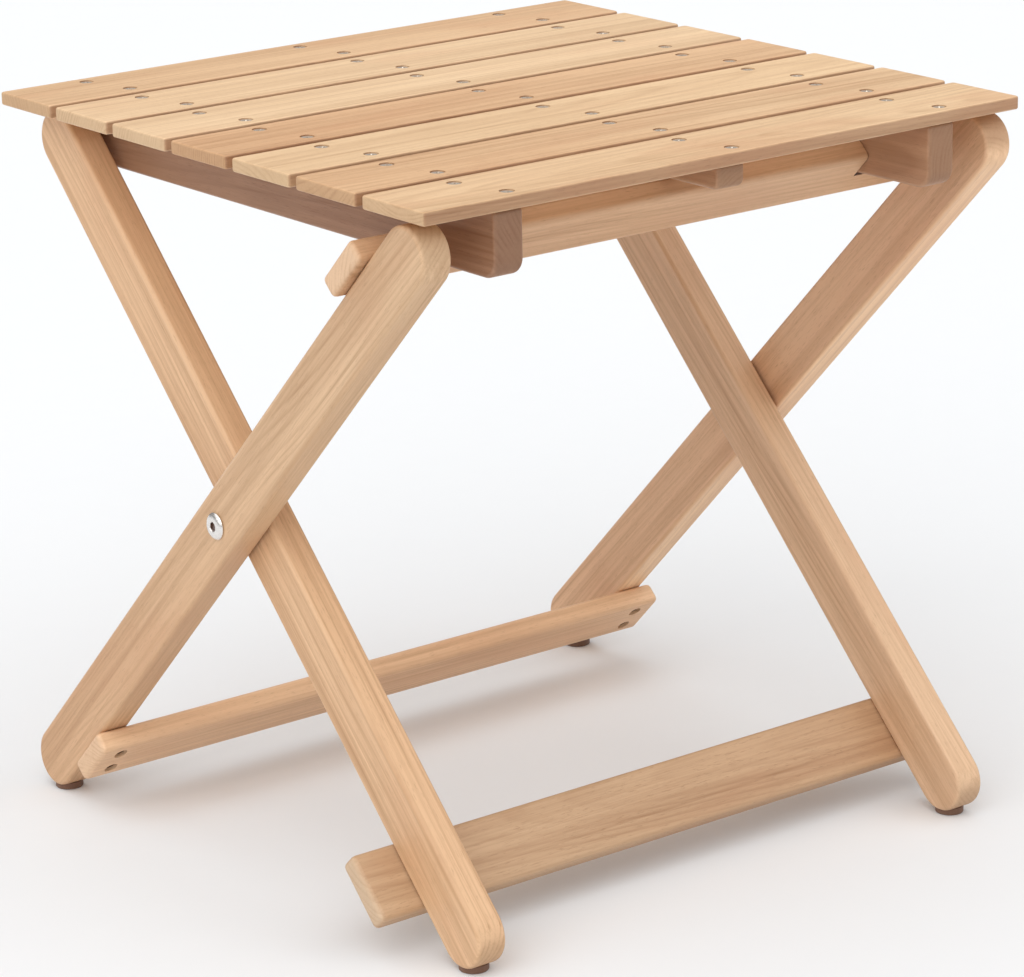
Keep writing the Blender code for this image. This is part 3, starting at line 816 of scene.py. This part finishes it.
# ----------------------------------------------------------------------- bars
# side makes the stretcher's narrow sides paler: partly edge grain, partly painted light
# the last setting makes a bar paler towards one end: partly its tone, partly painted light and
# shade
BAR_WOOD = {
    "front_rail": dict(slot="wood_rose", tone=(0.63, 0.385, 0.218), seed=61,
                       pith=(0.060, 0.090), ring=0.0030, sawn_end=1.34, side=1.0, tone_and_light_drift=0.0),
    "rear_stretcher": dict(slot="wood_pale", tone=(0.755, 0.485, 0.290), seed=62,
                           pith=(-0.070, 0.050), ring=0.0028, sawn_end=1.02, side=1.06,
                           tone_and_light_drift=-0.15),
    "front_board": dict(slot="wood_honey", tone=(0.51, 0.315, 0.178), seed=63,
                        pith=(0.016, 0.042), ring=0.0034, sawn_end=1.28, side=1.0, tone_and_light_drift=-0.7),
}
BAR_GRAIN = dict(lean=(0.03, 0.04), figure=1.0, stain=0.35)


def rail_notches(kind, at):
    """Cutters for the open notches round the two outer battens."""
    slope = Matrix.Rotation(NOTCH_SLOPE - LEG_ANGLE, 4, "X")
    notches = []
    for batten in ("batten_left", "batten_right"):
        b_low, b_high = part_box(batten)
        start = leg_point(kind, (b_low.x + b_high.x) / 2, at, LEG_ROUND)
        middle = start + slope @ Vector((0.0, 0.0, NOTCH_SIZE / 2))
        width = b_high.x - b_low.x + 2 * NOTCH_SIDE
        notches.append((prism((width, 1.5 * NOTCH_SIZE, NOTCH_SIZE)),
                        Matrix.Translation(middle) @ slope))
    return notches


for node, (kind, at, upper_edge, width) in BARS.items():
    low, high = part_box(node)
    along, upper = leg_axes(kind)
    reach = LEG_ROUND + GAP + BAR_THICKNESS / 2
    bar = plank(node + "_board", (high.x - low.x, width, BAR_THICKNESS), BAR_ARRIS)
    bar.matrix_world = place(leg_point(kind, 0.0, at, reach if upper_edge else -reach),
                             X, along)
    screws = bar_screw_frames(node)
    carve(bar, [(screw_hole(BAR_SCREW_LENGTH, BAR_SCREW_RECESS), spot)
                for spot in screws.values()])
    if node == "front_rail":
        carve(bar, rail_notches(kind, at))
    wooden(bar, dict(BAR_WOOD[node], **BAR_GRAIN), kind + "_frame", node)
    for (side, name), spot in screws.items():
        label = "{}_screw_{}_{}".format(BAR_LABEL[node], side, name)
        turn = screw_turns.uniform(0, math.pi)
        piece = new_object(label + "_steel", gather(label, [
            screw_copy(BAR_SCREW_LENGTH, Matrix.Identity(4), turn)]))
        piece.matrix_world = spot
        # painted shade: the sunk screws are darkened
        finish_piece(piece, SUNK_STEEL_PAINTED_SHADE, kind + "_frame", [label])

# ------------------------------------------------------------- crossing bolts
HEAD_DOME = ((0.0, 0.0), (0.0050, 0.00004), (0.0058, 0.00016), (0.0065, 0.00040),
             (0.0071, 0.00075), (0.0076, 0.00115), (0.0080, 0.00155),
             (BOLT_HEAD_RADIUS, 0.0019))   # radius, and drop below the top of the head
LEAD_IN_CONE = ((0.0, 0.0010), (0.0042, 0.0010), (0.0024, -0.0008), (0.0, -0.0008))
SOFT_EDGE = 0.0003
BOLT_POINT = 0.0008


def bolt_profile(length):
    """Domed bolt, the underside of its head at z = 0."""
    return ([(radius, BOLT_HEAD_HEIGHT - drop) for radius, drop in HEAD_DOME]
            + [(BOLT_HEAD_RADIUS, SOFT_EDGE), (BOLT_HEAD_RADIUS - SOFT_EDGE, 0.0),
               (BOLT_RADIUS + 0.0002, 0.0), (BOLT_RADIUS, -SOFT_EDGE),
               (BOLT_RADIUS, -length + BOLT_POINT), (BOLT_RADIUS - BOLT_POINT, -length),
               (0.0, -length)])


def ring_profile(outer, depth):
    """Closed outline of a washer or sleeve round the bolt."""
    hole, half = BOLT_RADIUS + GAP, depth / 2
    return [(outer - SOFT_EDGE, half), (outer, half - SOFT_EDGE),
            (outer, SOFT_EDGE - half), (outer - SOFT_EDGE, -half),
            (hole + SOFT_EDGE / 2, -half), (hole, SOFT_EDGE - half),
            (hole, half - SOFT_EDGE), (hole + SOFT_EDGE / 2, half)]


for side, sign in SIDES.items():
    outward = Matrix.Rotation(sign * math.pi / 2, 4, "Y")
    low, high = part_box("pivot_bolt_" + side)
    tip = high.x if sign > 0 else low.x
    length = high.x - low.x - BOLT_HEAD_HEIGHT
    bolt = new_object("pivot_bolt_{}_steel".format(side),
                      mesh_of(lathe(bolt_profile(length), steps=64), "bolt"))
    socket = lathe([(0.0, CUT_ABOVE), (HEX_RADIUS, CUT_ABOVE), (HEX_RADIUS, -HEX_DEPTH),
                    (0.0, -HEX_POINT)], steps=6)
    lead_in = lathe(LEAD_IN_CONE, steps=40)
    top_of_head = Matrix.Translation((0.0, 0.0, BOLT_HEAD_HEIGHT))
    carve(bolt, [(socket, top_of_head)])
    carve(bolt, [(lead_in, top_of_head)])
    seat = tip - sign * BOLT_HEAD_HEIGHT
    bolt.matrix_world = Matrix.Translation((seat, 0.0, CROSSING.z)) @ outward
    finish_piece(bolt, BOLT_STEEL, "inner_frame", ["pivot_bolt_" + side],
                 crease=35.0)

    for node, outer in (("pivot_washer_" + side, WASHER_RADIUS),
                        ("threaded_insert_" + side, INSERT_RADIUS)):
        low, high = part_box(node)
        ring = lathe(ring_profile(outer, high.x - low.x), steps=56, closed=True)
        piece = new_object(node + "_steel", mesh_of(ring, node))
        piece.matrix_world = Matrix.Translation(((low.x + high.x) / 2, 0.0, CROSSING.z)) @ outward
        finish_piece(piece, STEEL, "inner_frame", [node])

# ---------------------------------------------------------------- foot glides
PIN_TIP = GLIDE_HEIGHT + GLIDE_PIN_LENGTH
GLIDE_PROFILE = ([(0.0, PIN_TIP), (GLIDE_PIN_RADIUS * 0.6, PIN_TIP - 0.0012),
                  (GLIDE_PIN_RADIUS, PIN_TIP - 0.003), (GLIDE_PIN_RADIUS, GLIDE_HEIGHT),
                  (GLIDE_RADIUS - SOFT_EDGE, GLIDE_HEIGHT),
                  (GLIDE_RADIUS, GLIDE_HEIGHT - SOFT_EDGE)]
                 + [(GLIDE_RADIUS - GLIDE_ROUND * (1 - math.sin(a)),
                     GLIDE_ROUND * (1 - math.cos(a)))
                    for a in (math.radians(15.0 * i) for i in range(6, -1, -1))]
                 + [(0.0, 0.0)])
for end_of_table, kind in (("front", "inner"), ("rear", "outer")):
    for side in SIDES:
        node = "foot_glide_{}_{}".format(end_of_table, side)
        low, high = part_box(node)
        glide = new_object(node + "_plastic", mesh_of(lathe(GLIDE_PROFILE, steps=56), node))
        glide.matrix_world = Matrix.Translation(((low.x + high.x) / 2, (low.y + high.y) / 2, 0.0))
        finish_piece(glide, BROWN, kind + "_frame", [node])

# ------------------------------------------------------------ floor and light
FLOOR_HALF_SIZE = 30.0
FLOOR_TONES = ((0.840, 0.852, 0.866, 1.0), (0.848, 0.860, 0.874, 1.0))
FLOOR_MOTTLE = (40.0, 40.0, 40.0)
SKY_STRENGTH = 0.32
LIGHTS = {  # name: strength, width of the sun's disc in degrees, direction
    "overhead_softbox": (2.15, 105.0, (0.25, 0.15, -1.0)),
    "left_softbox": (0.72, 60.0, (0.95, 0.45, -0.80)),
    "right_softbox": (0.45, 60.0, (-0.80, 0.60, -0.50)),
}
paper = Shader("floor_paper")
mottle = paper.noise(paper.node("TexCoord").outputs["Object"], FLOOR_MOTTLE, 3.0, 0.5)
paper.set(Base_Color=paper.mix(mottle, *FLOOR_TONES), Roughness=0.9, Specular_IOR_Level=0.1)
bm = bmesh.new()
bmesh.ops.create_grid(bm, x_segments=2, y_segments=2, size=FLOOR_HALF_SIZE)
floor = new_object("studio_floor", mesh_of(bm, "studio_floor"))
floor.data.materials.append(paper.material)

world = bpy.data.worlds.new("studio")
bpy.context.scene.world = world
world.use_nodes = True
sky = world.node_tree.nodes["Background"]
sky.inputs["Color"].default_value = (1.0, 1.0, 1.0, 1.0)
sky.inputs["Strength"].default_value = SKY_STRENGTH

# wide suns, as soft as large softboxes
for name, (strength, width, towards) in LIGHTS.items():
    lamp = bpy.data.lights.new(name, "SUN")
    lamp.energy = strength
    lamp.angle = math.radians(width)
    obj = bpy.data.objects.new(name, lamp)
    bpy.context.scene.collection.objects.link(obj)
    obj.rotation_euler = Vector(towards).to_track_quat("-Z", "Y").to_euler()

# --------------------------------------------------------------------- camera
CAMERA_AT = (-1.4817, -1.9330, 0.9552)
CAMERA_TURN = math.radians(-37.4887)  # about Z, from looking along +Y
CAMERA_TILT = math.radians(72.8135)   # 90 would look level
CAMERA_ROLL = math.radians(-1.1964)
camera = bpy.data.objects.new("camera", bpy.data.cameras.new("camera"))
bpy.context.scene.collection.objects.link(camera)
camera.data.lens = 145.024
camera.data.sensor_width = 36.0
camera.data.sensor_fit = "HORIZONTAL"
camera.data.clip_end = 100.0
camera.matrix_world = (Matrix.Translation(CAMERA_AT) @ Matrix.Rotation(CAMERA_TURN, 4, "Z")
                       @ Matrix.Rotation(CAMERA_TILT, 4, "X")
                       @ Matrix.Rotation(CAMERA_ROLL, 4, "Z"))
bpy.context.scene.camera = camera
bpy.context.scene.view_settings.view_transform = "Standard"

# ------------------------------------------------------------------ drop the screw meshes
for mesh in SCREWS.values():
    bpy.data.meshes.remove(mesh)
